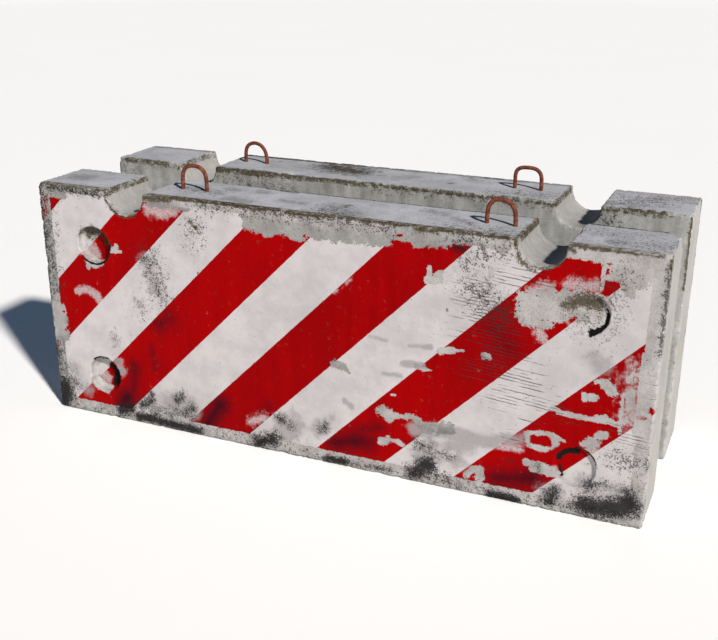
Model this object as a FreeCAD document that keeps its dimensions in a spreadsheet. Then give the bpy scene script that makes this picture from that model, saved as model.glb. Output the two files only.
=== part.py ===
import FreeCAD, Part
import math
import os
import re

import Sketcher
from FreeCAD import Placement, Rotation, Vector

# A pair of precast concrete barrier slabs that stand back to back with an open gap.
# +X runs along the slabs, -Y is the side of the front slab's stripes, and +Z is up.
# The origin is on the ground, under the middle of the pair.
# The rear slab is the front slab turned half round about Z, so its stripes face +Y.
# Pieces are laid out in a slab's own frame first: X from mid-length, Y from mid-thickness
# with the striped face at -slab_thickness / 2, and Z from the foot.

# Driving dimensions, in millimetres.
SIZES = {
    "slab_length": 2500.0,
    "slab_thickness": 300.0,
    "slab_height": 1000.0,
    "slab_gap": 250.0,
    "edge_bevel": 5.0,
    # round-bottomed saddles in the top edge, centred a little below it
    "saddle_radius": 83.0,
    "saddle_drop": 10.0,
    "saddle_from_end": 418.0,
    # blind round recesses in the striped face; the right-hand pair is filled most of the way
    "recess_radius": 75.0,
    "open_recess_depth": 35.0,
    "filled_recess_depth": 12.0,
    "recess_from_end": 252.0,
    "recess_low": 195.0,
    "recess_high": 767.0,
    # paint film on the striped face, masked off at the same margin on every side
    "paint_film": 0.6,
    "paint_margin": 55.0,
    # where the sides of each red band would meet the ground, from the slab's left end
    "band_0_left": -1114.0,
    "band_0_right": -830.0,
    "band_1_left": -541.0,
    "band_1_right": -261.0,
    "band_2_left": 34.0,
    "band_2_right": 316.0,
    "band_3_left": 603.0,
    "band_3_right": 887.0,
    "band_4_left": 1186.0,
    "band_4_right": 1471.0,
    "band_5_left": 1750.0,
    "band_5_right": 2047.0,
    # lifting loops of smooth round bar
    "loop_bar": 16.0,
    "loop_width": 106.0,
    "loop_corner": 42.0,
    "loop_depth": 560.0,
    "hook_bend": 48.0,
    "hook_straight": 110.0,
    "front_left_place": -598.0,
    "front_right_place": 647.0,
    "rear_left_place": -623.0,
    "rear_right_place": 598.0,
    "front_left_rise": 102.0,
    "front_right_rise": 94.0,
    "rear_left_rise": 92.0,
    "rear_right_rise": 92.0,
    # reinforcement: closed links round bars that run lengthways
    "cover": 40.0,
    "end_cover": 45.0,
    "tie_gap": 1.2,
    "link_bar": 8.0,
    "link_bend": 20.0,
    "link_bay": 170.0,
    "link_by_loop": 622.0,
    "link_by_saddle": 765.0,
    "link_past_saddle": 895.0,
    "link_past_recess": 1100.0,
    "link_by_end": 1190.0,
    "main_bar": 12.0,
    "corner_inset": 6.0,
    "face_bar": 10.0,
    "face_bar_low": 290.0,
    "face_bar_mid": 475.0,
    "face_bar_high": 660.0,
    "hairpin_leg": 430.0,
    "hairpin_bend": 28.0,
    "hairpin_lowest": 180.0,
    "hairpin_lower": 385.0,
    "hairpin_upper": 570.0,
    "hairpin_highest": 755.0,
    # wheel spacers that hold the cage off the mould
    "spacer_radius": 43.0,
    "spacer_width": 12.0,
    "spacer_bore": 4.6,
    "spacer_window": 10.0,
    "spacer_window_ring": 25.0,
    "spacer_low": 235.0,
    "spacer_high": 705.0,
}

# Each slab's side of the pair, as the sign of its Y, and its turn about Z in degrees.
SLABS = {"front": (-1, 0), "rear": (1, 180)}
LOOP_SIDES = ("left", "right")
SADDLE_LEVEL = "slab_height - saddle_drop"
RECESS_LEVELS = ("recess_low", "recess_high")
# Each end of a slab, as the sign of its X, and how deep its recesses are.
ENDS = {"left": (-1, "open_recess_depth"), "right": (1, "filled_recess_depth")}
BAND_COUNT = 6
SPACER_WINDOWS = 6
HEADINGS = {"+x": (1, 0), "-x": (-1, 0), "+y": (0, 1), "-y": (0, -1)}

doc = FreeCAD.newDocument("barrier_pair")
sheet = doc.addObject("Spreadsheet::Sheet", "sizes")
for row, (alias, value) in enumerate(SIZES.items(), 1):
    sheet.set(f"A{row}", alias)
    sheet.set(f"B{row}", str(value))
    sheet.setAlias(f"B{row}", alias)
doc.recompute()


# ---- expressions over the sheet, in which a bare word is one of its cells ----

def on_sheet(words):
    """The expression with each cell's name tied to the sheet."""
    def tie(found):
        return "<<sizes>>." + found.group() if found.group() in SIZES else found.group()

    return re.sub(r"[a-z][a-z0-9_]+", tie, words)


def amount(words):
    """What the expression comes to, in millimetres."""
    return float(sheet.evalExpression(on_sheet(words)))


def bind(thing, *pairs):
    """Binds each property to its expression."""
    for path, words in pairs:
        thing.setExpression(path, on_sheet(words))
    return thing


def place(thing, x="0", y="0", z="0", axis=(0, 0, 1), turn=0):
    """Turns an object about an axis through its origin and binds where it stands."""
    thing.Placement = Placement(Vector(), Rotation(Vector(*axis), turn))
    base = "Placement.Base."
    return bind(thing, (base + "x", x), (base + "y", y), (base + "z", z))


def stand(thing, slab, x="0", turned=True):
    """Moves a piece from a slab's own frame to that slab's side of the pair."""
    sign, turn = SLABS[slab]
    across = f"{sign} * (slab_thickness + slab_gap) / 2"
    return place(thing, x, across, turn=turn if turned else 0)


# ---- sketches, bodies and groups ----

def new_sketch(body, name, role, offset="0"):
    """A sketch on one of the body's origin planes, moved along that plane's normal."""
    sketch = body.newObject("Sketcher::SketchObject", name)
    plane = next(f for f in body.Origin.OriginFeatures if f.Role == role)
    sketch.AttachmentSupport = (plane, "")
    sketch.MapMode = "FlatFace"
    return bind(sketch, ("AttachmentOffset.Base.z", offset))


def new_feature(body, kind, name, sketch, *pairs):
    """A feature of the body that is made from a sketch."""
    feature = body.newObject("PartDesign::" + kind, name)
    feature.Profile = sketch
    return bind(feature, *pairs)


def hold(sketch, name, kind, where, words):
    """Adds a driving dimension to a sketch and binds it."""
    value = amount(words)
    index = sketch.addConstraint(Sketcher.Constraint(kind, *where, value))
    sketch.renameConstraint(index, name)
    bind(sketch, ("Constraints." + name, words))


def hold_point(sketch, name, shape, point, x, y):
    """Dimensions a point from the sketch's axes, or puts it on them where it is at 0."""
    for kind, axis, words in (("DistanceX", -2, x), ("DistanceY", -1, y)):
        if amount(words):
            hold(sketch, f"{name}_{kind}", kind, (-1, 1, shape, point), words)
        else:
            sketch.addConstraint(Sketcher.Constraint("PointOnObject", shape, point, axis))


def draw_circle(sketch, name, x, y, radius):
    middle = Vector(amount(x), amount(y), 0)
    ring = Part.Circle(middle, Vector(0, 0, 1), amount(radius))
    shape = sketch.addGeometry(ring, False)
    hold(sketch, name + "_radius", "Radius", (shape,), radius)
    hold_point(sketch, name, shape, 3, x, y)


def draw_rectangle(sketch, x, y, width, height):
    """A rectangle from its lower left corner."""
    low, span = Vector(amount(x), amount(y), 0), (amount(width), amount(height))
    ends = [low + Vector(a * span[0], b * span[1], 0) for a, b in ((0, 0), (1, 0), (1, 1), (0, 1))]
    sides = [
        sketch.addGeometry(Part.LineSegment(ends[i], ends[(i + 1) % 4]), False) for i in range(4)
    ]
    for i, side in enumerate(sides):
        after = sides[(i + 1) % 4]
        sketch.addConstraint(Sketcher.Constraint("Coincident", side, 2, after, 1))
        sketch.addConstraint(Sketcher.Constraint(("Horizontal", "Vertical")[i % 2], side))
    hold(sketch, "width", "Distance", (sides[0],), width)
    hold(sketch, "height", "Distance", (sides[1],), height)
    hold_point(sketch, "corner", sides[0], 1, x, y)


def draw_bent_line(sketch, x, y, runs):
    """Straight runs joined by quarter bends, from the point x, y.

    Each run is a heading, a length and the radius of the bend after it. With no bend after
    the last run the line is open, and otherwise it closes on its first run.
    """
    closed = runs[-1][2] is not None
    point, lines, bends = Vector(amount(x), amount(y), 0), [], []
    for number, (heading, length, bend) in enumerate(runs):
        along = Vector(*HEADINGS[heading], 0)
        end = point + along * amount(length)
        lines.append(sketch.addGeometry(Part.LineSegment(point, end), False))
        level = "Horizontal" if heading[1] == "x" else "Vertical"
        sketch.addConstraint(Sketcher.Constraint(level, lines[-1]))
        if bend is None:
            continue
        radius = amount(bend)
        onward = Vector(*HEADINGS[runs[(number + 1) % len(runs)][0]], 0)
        centre = end + onward * radius
        point = centre + along * radius
        turns_left = along.cross(onward).z > 0
        first = (end if turns_left else point) - centre
        angle = math.atan2(first.y, first.x)
        circle = Part.Circle(centre, Vector(0, 0, 1), radius)
        arc = sketch.addGeometry(Part.ArcOfCircle(circle, angle, angle + math.pi / 2), False)
        bends.append((number, arc, turns_left, bend))
    for number, arc, turns_left, bend in bends:
        near, far = (1, 2) if turns_left else (2, 1)
        after = lines[(number + 1) % len(lines)]
        sketch.addConstraint(Sketcher.Constraint("Tangent", lines[number], 2, arc, near))
        sketch.addConstraint(Sketcher.Constraint("Tangent", after, 1, arc, far))
        hold(sketch, f"bend_{number}", "Radius", (arc,), bend)
    for number, (_, length, _) in enumerate(runs[:2] if closed else runs):
        hold(sketch, f"run_{number}", "Distance", (lines[number],), length)
    hold_point(sketch, "start", lines[0], 1, x, y)
    return len(lines) + len(bends)


def bent_bar(name, line_plane, cut_plane, start, cut_offset, cut_point, runs, diameter):
    """A round bar bent along runs; cut_plane meets its first end square on."""
    body = doc.addObject("PartDesign::Body", name)
    line = new_sketch(body, name + "_line", line_plane)
    pieces = draw_bent_line(line, *start, runs)
    cut = new_sketch(body, name + "_section", cut_plane, cut_offset)
    draw_circle(cut, "bar", *cut_point, f"({diameter}) / 2")
    sweep = new_feature(body, "AdditivePipe", name + "_bar", cut)
    sweep.Spine = (line, [f"Edge{number + 1}" for number in range(pieces)])
    return body


def primitive(kind, name, sizes, **where):
    """A Part primitive with each size and its place bound to the sheet."""
    return place(bind(doc.addObject("Part::" + kind, name), *sizes.items()), **where)


def straight_bar(name, diameter, x, length, y, z):
    """A round bar that runs lengthways from x."""
    sizes = {"Radius": f"{diameter} / 2", "Height": length}
    return primitive("Cylinder", name, sizes, x=x, y=y, z=z, axis=(0, 1, 0), turn=90)


def copy_of(pattern, name, **where):
    """The same piece again, standing somewhere else."""
    twin = doc.addObject("App::Link", name)
    twin.LinkedObject = pattern
    return place(twin, **where)


def group(kind, name, members):
    joined = doc.addObject("Part::" + kind, name)
    setattr(joined, "Links" if kind == "Compound" else "Shapes", members)
    return joined


# ---- pieces of one slab ----

def concrete_slab(name):
    """The cast slab with its saddles, recesses and bevelled edges."""
    body = doc.addObject("PartDesign::Body", name)
    outline = new_sketch(body, name + "_outline", "XZ_Plane")
    draw_rectangle(outline, "-slab_length / 2", "0", "slab_length", "slab_height")
    block = new_feature(body, "Pad", name + "_block", outline, ("Length", "slab_thickness"))
    block.Midplane = True

    saddles = new_sketch(body, name + "_saddle_outline", "XZ_Plane")
    for end, (sign, _) in ENDS.items():
        from_middle = f"{sign} * (slab_length / 2 - saddle_from_end)"
        draw_circle(saddles, end, from_middle, SADDLE_LEVEL, "saddle_radius")
    saddle_cut = new_feature(body, "Pocket", name + "_saddles", saddles)
    saddle_cut.Type = "ThroughAll"
    saddle_cut.Midplane = True
    doc.recompute()

    bevel = body.newObject("PartDesign::Chamfer", name + "_edges")
    bevel.Base = (saddle_cut, face_outline_edges(saddle_cut.Shape))
    bind(bevel, ("Size", "edge_bevel"))
    for end, (sign, depth) in ENDS.items():
        start = f"{name}_{end}_recess"
        recesses = new_sketch(body, start + "_outline", "XZ_Plane", "slab_thickness / 2")
        from_middle = f"{sign} * (slab_length / 2 - recess_from_end)"
        for level in RECESS_LEVELS:
            draw_circle(recesses, level, from_middle, level, "recess_radius")
        new_feature(body, "Pocket", start + "_cut", recesses, ("Length", depth))
    return body


def face_outline_edges(shape):
    """The names of the edges round the two large faces."""
    half = amount("slab_thickness / 2")
    return [
        f"Edge{number}"
        for number, edge in enumerate(shape.Edges, 1)
        if all(abs(abs(vertex.Y) - half) < 1e-6 for vertex in edge.Vertexes)
        and edge.BoundBox.YLength < 1e-6
    ]


def paint_films(slab):
    """The white and the red film on the striped face and on the recess floors."""
    face = "-slab_thickness / 2"
    film = primitive(
        "Box",
        slab + "_film",
        {
            "Length": "slab_length - 2 * paint_margin",
            "Width": "paint_film",
            "Height": "slab_height - 2 * paint_margin",
        },
        x="-slab_length / 2 + paint_margin",
        y=face + " - paint_film",
        z="paint_margin",
    )
    mouths, floors = [], []
    for end, (sign, depth) in ENDS.items():
        over_saddle = f"{sign} * (slab_length / 2 - saddle_from_end)"
        mouths.append(
            film_disc(
                f"{slab}_{end}_saddle_mouth", "saddle_radius + edge_bevel",
                face + " + paint_film", over_saddle, SADDLE_LEVEL, 3,
            )
        )
        across = f"{sign} * (slab_length / 2 - recess_from_end)"
        for level in RECESS_LEVELS:
            mouth, floor = (f"{slab}_{end}_{level}_{part}" for part in ("mouth", "floor"))
            round_size = ("recess_radius", face + " + paint_film", across, level, 3)
            mouths.append(film_disc(mouth, *round_size))
            round_size = ("recess_radius", f"{face} + {depth}", across, level, 1)
            floors.append(film_disc(floor, *round_size))
    opened = doc.addObject("Part::Cut", slab + "_opened_film")
    opened.Base, opened.Tool = film, group("Compound", slab + "_mouths", mouths)
    coat = group("Compound", slab + "_coat", [opened, *floors])
    bands = group(
        "Compound", slab + "_bands", [diagonal_band(slab, i) for i in range(BAND_COUNT)]
    )
    white = doc.addObject("Part::Cut", slab + "_white_paint")
    red = doc.addObject("Part::Common", slab + "_red_paint")
    for paint in (white, red):
        paint.Base, paint.Tool = coat, bands
    return white, red


def film_disc(name, radius, y, x, z, films):
    """A disc some films thick, across Y, which ends at y and reaches towards -Y."""
    sizes = {"Radius": radius, "Height": f"{films} * paint_film"}
    return primitive("Cylinder", name, sizes, x=x, y=y, z=z, axis=(1, 0, 0), turn=90)


def diagonal_band(slab, number):
    """A square-ended bar that holds one red band, which climbs to +X at 45 degrees."""
    left, right = f"band_{number}_left", f"band_{number}_right"
    run = f"({right} - {left})"
    sizes = {
        "Length": f"1.5 * slab_height + {run}",
        "Width": "slab_thickness",
        "Height": f"{run} * sqrt(0.5)",
    }
    start = {
        "x": f"-slab_length / 2 + {right} - {run} / 2",
        "y": "-slab_thickness",
        "z": f"-{run} / 2",
    }
    return primitive("Box", f"{slab}_band_{number}", sizes, axis=(0, 1, 0), turn=-45, **start)


def lifting_loop(slab, side):
    """An inverted U that stands out of the top edge, with hooked legs cast in."""
    hook_level = "slab_height - loop_depth"
    leg = f"{slab}_{side}_rise - loop_bar / 2 - loop_corner + loop_depth - hook_bend"
    hook_end = "-(loop_width / 2 + hook_bend + hook_straight)"
    runs = [
        ("+x", "hook_straight", "hook_bend"),
        ("+y", leg, "loop_corner"),
        ("+x", "loop_width - 2 * loop_corner", "loop_corner"),
        ("-y", leg, "hook_bend"),
        ("+x", "hook_straight", None),
    ]
    name = f"{slab}_lifting_loop_{side}"
    start = (hook_end, hook_level)
    loop = bent_bar(
        name, "XZ_Plane", "YZ_Plane", start, hook_end, ("0", hook_level), runs, "loop_bar"
    )
    return stand(loop, slab, x=f"{slab}_{side}_place", turned=False)


# ---- the cage, the same in both slabs ----

def closed_link(name, top):
    """One closed rectangular link, with its centre line at the given height on top."""
    side = "slab_thickness / 2 - cover - link_bar / 2"
    foot = "cover + link_bar / 2"
    across = f"2 * ({side} - link_bend)"
    up = f"({top}) - ({foot}) - 2 * link_bend"
    runs = [
        ("+x", across, "link_bend"),
        ("+y", up, "link_bend"),
        ("-x", across, "link_bend"),
        ("-y", up, "link_bend"),
    ]
    corner = f"-({side} - link_bend)"
    # The XZ plane's normal is -Y, so a place on Y is an offset of the other sign.
    return bent_bar(
        name, "YZ_Plane", "XZ_Plane", (corner, foot), f"-({corner})", ("0", foot), runs, "link_bar"
    )


def both_ways(pattern, name, places):
    """Copies of a piece at each place along X and at its mirror place."""
    return [
        copy_of(pattern, f"{name}_{number}_{side}", x=f"{sign} * {words}")
        for number, words in enumerate(places)
        for side, sign in (("left", -1), ("right", 1))
    ]


def cage_links():
    """Full-height links, and shorter ones that pass under the saddles."""
    full = closed_link("full_link", "slab_height - cover - link_bar / 2")
    short = closed_link("short_link", SADDLE_LINK_TOP)
    bays = [f"{number} * link_bay" for number in (1, 2, 3)]
    tall_places = bays + ["link_by_loop", "link_past_recess", "link_by_end"]
    tall = [copy_of(full, "tall_middle")] + both_ways(full, "tall", tall_places)
    low = both_ways(short, "low", ["link_by_saddle", "link_past_saddle"])
    return {"full_height_links": tall, "saddle_links": low}


def bar_pair(name, diameter, x, length, inset, z):
    """Two bars that run lengthways, one by each face of the slab."""
    return [
        straight_bar(f"{name}_{side}", diameter, x, length, f"{sign} * ({inset})", z)
        for side, sign in (("striped", -1), ("plain", 1))
    ]


def cage_bars():
    """The bars that run lengthways inside the links."""
    start, length = "-slab_length / 2 + end_cover", "slab_length - 2 * end_cover"
    corner_out = "slab_thickness / 2 - cover - link_bar / 2 - link_bend + corner_inset"
    face_out = "slab_thickness / 2 - cover - link_bar - tie_gap - face_bar / 2"
    bottom = bar_pair(
        "bottom", "main_bar", start, length, corner_out,
        "cover + link_bar / 2 + link_bend - corner_inset",
    )
    under = bar_pair(
        "under_saddle", "main_bar", start, length, corner_out,
        f"{SADDLE_LINK_TOP} - link_bend + corner_inset",
    )
    top_level = "slab_height - cover - link_bar / 2 - link_bend + corner_inset"
    near = "slab_length / 2 - saddle_from_end - saddle_radius - cover"
    far = "slab_length / 2 - saddle_from_end + saddle_radius + cover"
    short = f"slab_length / 2 - end_cover - ({far})"
    top = bar_pair("top_middle", "main_bar", f"-({near})", f"2 * ({near})", corner_out, top_level)
    top += bar_pair("top_left", "main_bar", start, short, corner_out, top_level)
    top += bar_pair("top_right", "main_bar", far, short, corner_out, top_level)
    striped, plain = [], []
    for level in ("face_bar_low", "face_bar_mid", "face_bar_high"):
        near_bar, far_bar = bar_pair(level, "face_bar", start, length, face_out, level)
        striped.append(near_bar)
        plain.append(far_bar)
    return {
        "bottom_bars": bottom,
        "under_saddle_bars": under,
        "top_bars": top,
        "striped_side_bars": striped,
        "plain_side_bars": plain,
    }


def end_hairpins():
    """U bars that wrap each end of the cage, between the levels of the face bars."""
    side = "slab_thickness / 2 - cover - link_bar - tie_gap - face_bar / 2"
    tip = "slab_length / 2 - end_cover - hairpin_leg"
    leg = "hairpin_leg - hairpin_bend"
    runs = [
        ("+x", leg, "hairpin_bend"),
        ("+y", f"2 * ({side} - hairpin_bend)", "hairpin_bend"),
        ("-x", leg, None),
    ]
    start, cut_point = (tip, f"-({side})"), (f"-({side})", "0")
    pattern = bent_bar(
        "hairpin", "XY_Plane", "YZ_Plane", start, tip, cut_point, runs, "face_bar"
    )
    levels = ("hairpin_lowest", "hairpin_lower", "hairpin_upper", "hairpin_highest")
    return [
        copy_of(pattern, f"{level}_{turn}", z=level, turn=turn)
        for level in levels
        for turn in (0, 180)
    ]


def cover_spacers():
    """Wheels on the links' upright legs that touch the mould and keep the cover."""
    wheel = doc.addObject("PartDesign::Body", "spacer_wheel")
    rim = new_sketch(wheel, "wheel_outline", "XY_Plane")
    draw_circle(rim, "rim", "0", "0", "spacer_radius")
    draw_circle(rim, "bore", "0", "0", "spacer_bore")
    new_feature(wheel, "Pad", "wheel_disc", rim, ("Length", "spacer_width"))
    gap = new_sketch(wheel, "window_outline", "XY_Plane", "spacer_width")
    draw_circle(gap, "window", "spacer_window_ring", "0", "spacer_window")
    window = new_feature(wheel, "Pocket", "wheel_window", gap)
    window.Type = "ThroughAll"
    doc.recompute()
    windows = wheel.newObject("PartDesign::PolarPattern", "wheel_windows")
    windows.Originals = [window]
    windows.Axis = (gap, ["N_Axis"])
    windows.Angle = 360
    windows.Occurrences = SPACER_WINDOWS
    wheel.Tip = windows
    side = "slab_thickness / 2 - cover - link_bar / 2"
    places = ["0"] + [f"{s} * {p}" for p in ("3 * link_bay", "link_by_end") for s in (-1, 1)]
    return [
        copy_of(wheel, f"wheel_{number}_{face}_{level}", x=x, y=f"{face} * ({side})", z=level)
        for number, x in enumerate(places)
        for face in (-1, 1)
        for level in ("spacer_low", "spacer_high")
    ]


SADDLE_LINK_TOP = SADDLE_LEVEL + " - saddle_radius - cover - link_bar / 2"

subparts = []
for slab in SLABS:
    subparts.append(stand(concrete_slab(slab + "_concrete_slab"), slab))
    subparts += [stand(paint, slab) for paint in paint_films(slab)]
    subparts += [lifting_loop(slab, side) for side in LOOP_SIDES]

cage = {
    **cage_links(),
    **cage_bars(),
    "end_hairpins": end_hairpins(),
    "cover_spacers": cover_spacers(),
}
for slab in SLABS:
    for name, members in cage.items():
        subparts.append(stand(group("Compound", f"{slab}_{name}", members), slab))

doc.recompute()

faults = [
    f"{thing.Name}: {thing.State}"
    for thing in doc.Objects
    if "Invalid" in thing.State or "Error" in thing.State
]
faults += [
    f"{thing.Name}: no valid shape"
    for thing in subparts
    if thing.Shape.isNull() or not thing.Shape.isValid()
]
if faults:
    raise RuntimeError("; ".join(faults))

os.makedirs("parts", exist_ok=True)
for thing in subparts:
    thing.Label = thing.Name
    thing.Shape.exportStep(f"parts/{thing.Label}.step")
    print(f"{thing.Label}: {len(thing.Shape.Solids)} solids, {thing.Shape.Volume / 1e6:.4f} litres")
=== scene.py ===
"""A pair of weathered, striped concrete barrier slabs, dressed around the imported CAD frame.

Lengths are metres. The row frame has X along the slabs, Y from the striped front slab to the
rear one and Z up. A slab's own frame has its foot at z 0 and its striped face at -y.
"""

import math

import bmesh
import bpy
import numpy as np
from mathutils import Matrix, Vector, noise
from mathutils.bvhtree import BVHTree


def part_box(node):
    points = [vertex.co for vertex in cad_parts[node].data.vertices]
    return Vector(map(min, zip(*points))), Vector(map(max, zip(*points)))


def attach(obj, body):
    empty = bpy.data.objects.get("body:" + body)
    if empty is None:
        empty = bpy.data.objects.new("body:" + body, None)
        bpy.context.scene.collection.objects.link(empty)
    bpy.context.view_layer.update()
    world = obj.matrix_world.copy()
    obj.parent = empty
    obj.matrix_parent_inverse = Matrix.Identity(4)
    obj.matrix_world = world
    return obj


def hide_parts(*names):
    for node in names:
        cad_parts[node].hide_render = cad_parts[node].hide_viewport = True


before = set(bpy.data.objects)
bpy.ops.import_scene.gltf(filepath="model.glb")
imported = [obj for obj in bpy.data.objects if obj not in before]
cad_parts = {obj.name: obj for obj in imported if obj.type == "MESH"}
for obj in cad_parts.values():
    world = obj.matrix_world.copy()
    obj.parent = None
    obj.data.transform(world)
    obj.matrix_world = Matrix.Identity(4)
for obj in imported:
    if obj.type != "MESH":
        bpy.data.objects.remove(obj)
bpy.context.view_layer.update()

# ---------------------------------------------------------------- sizes, from the frame

slab_low, slab_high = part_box("front_concrete_slab")
HALF_LENGTH = (slab_high.x - slab_low.x) / 2
HALF_THICKNESS = (slab_high.y - slab_low.y) / 2
HEIGHT = slab_high.z
ROW_OFFSET = -(slab_high.y + slab_low.y) / 2

SADDLE_RADIUS = 0.083
SADDLE_X = HALF_LENGTH - 0.418
SADDLE_LEVEL = HEIGHT - 0.010
RECESS_DEPTH = 0.035

# the red bands lean at 45 degrees: each runs between two values of x - z
BANDS = (
    (-2.364, -2.080), (-1.791, -1.511), (-1.216, -0.934),
    (-0.647, -0.363), (-0.064, 0.221), (0.500, 0.797),
)
PAINT_SIDE = 1.195
PAINT_FOOT = 0.057
PAINT_TOP = 0.972
PAINT_TO_SADDLE = 0.004

# ---------------------------------------------------------------- camera

CAMERA_PLACE = Vector((1.5695, -3.6493, 1.9567))
CAMERA_TURN = math.radians(23.417)
CAMERA_PITCH = math.radians(20.796)
CAMERA_ROLL = math.radians(0.153)
SENSOR_WIDTH = 36
FOCAL_LENGTH = 51.415
FARTHEST_SEEN = 500


def add_object(name, data):
    """A new object in the scene."""
    item = bpy.data.objects.new(name, data)
    bpy.context.scene.collection.objects.link(item)
    return item


def add_camera():
    lens = bpy.data.cameras.new("camera")
    lens.sensor_width = SENSOR_WIDTH
    lens.lens = FOCAL_LENGTH
    lens.clip_end = FARTHEST_SEEN
    camera = add_object("camera", lens)
    turn = Matrix.Rotation(CAMERA_TURN, 4, "Z")
    pitch = Matrix.Rotation(math.pi / 2 - CAMERA_PITCH, 4, "X")
    roll = Matrix.Rotation(CAMERA_ROLL, 4, "Z")
    camera.matrix_world = Matrix.Translation(CAMERA_PLACE) @ turn @ pitch @ roll
    bpy.context.scene.camera = camera


add_camera()

# ---------------------------------------------------------------- wear, placed one by one
# Some strokes are painted shade rather than wear: the ones that dull the recesses' sunlit walls, and
# the shadow crescents along the recess rims.
# Each stroke is (strength, half width, point, point, ...). Points on the striped face and on
# the rear slab's inner face are (x, z), and points on the tops are (x, y), in the row frame.


def arc(x, z, radius, start, end, count=6):
    """Points along an arc on the striped face, in degrees from +x towards +z."""
    angles = [math.radians(start + (end - start) * i / (count - 1)) for i in range(count)]
    return [(x + radius * math.cos(a), z + radius * math.sin(a)) for a in angles]


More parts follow.
